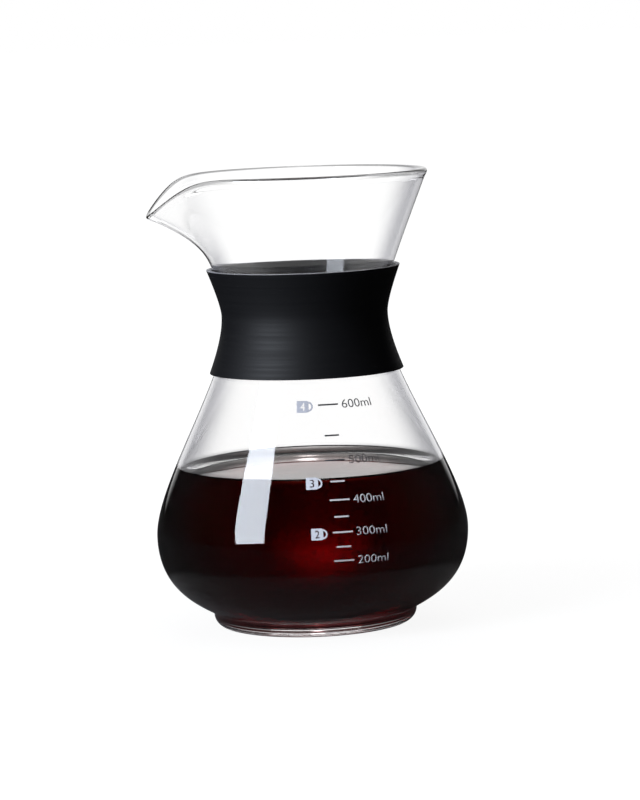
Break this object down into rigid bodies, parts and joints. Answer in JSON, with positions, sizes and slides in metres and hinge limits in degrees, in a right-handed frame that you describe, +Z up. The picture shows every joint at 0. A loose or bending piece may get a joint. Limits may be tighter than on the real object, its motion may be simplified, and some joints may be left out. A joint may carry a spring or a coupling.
{
  "type": "glass coffee server",
  "caption": "Clear glass coffee server with a round bulb, a black silicone grip sleeve on its waist, a flared mouth with a pouring spout, black coffee inside and a measuring scale.",
  "frame": {"origin": "on the axis of the bulb, on the table under the foot", "axes": "+Z up the axis of the bulb, -X along the pouring spout, -Y through the middle of the printed scale"},
  "size_m": [0.1162, 0.1164, 0.1684],
  "materials": {
    "clear_glass": "fire-polished clear borosilicate",
    "black_silicone": "satin moulded silicone",
    "black_coffee": "dark clear liquid",
    "pale_enamel": "fired pale grey enamel"
  },
  "bodies": {
    "server": {"glass_body": "clear_glass", "coffee": "black_coffee", "scale_line_200": "pale_enamel", "scale_line_250": "pale_enamel", "scale_line_300": "pale_enamel", "scale_line_350": "pale_enamel", "scale_line_400": "pale_enamel", "scale_line_450": "pale_enamel", "scale_line_500": "pale_enamel", "scale_line_550": "pale_enamel", "scale_line_600": "pale_enamel", "mug_mark_2": "pale_enamel", "mug_mark_3": "pale_enamel", "mug_mark_4": "pale_enamel"},
    "sleeve": {"grip_sleeve": "black_silicone"}
  },
  "joints": [
    {"name": "sleeve_turn", "type": "hinge", "parent": "server", "child": "sleeve", "pos_m": [0, 0, 0.114], "axis": [0, 0, 1], "continuous": true}
  ]
}
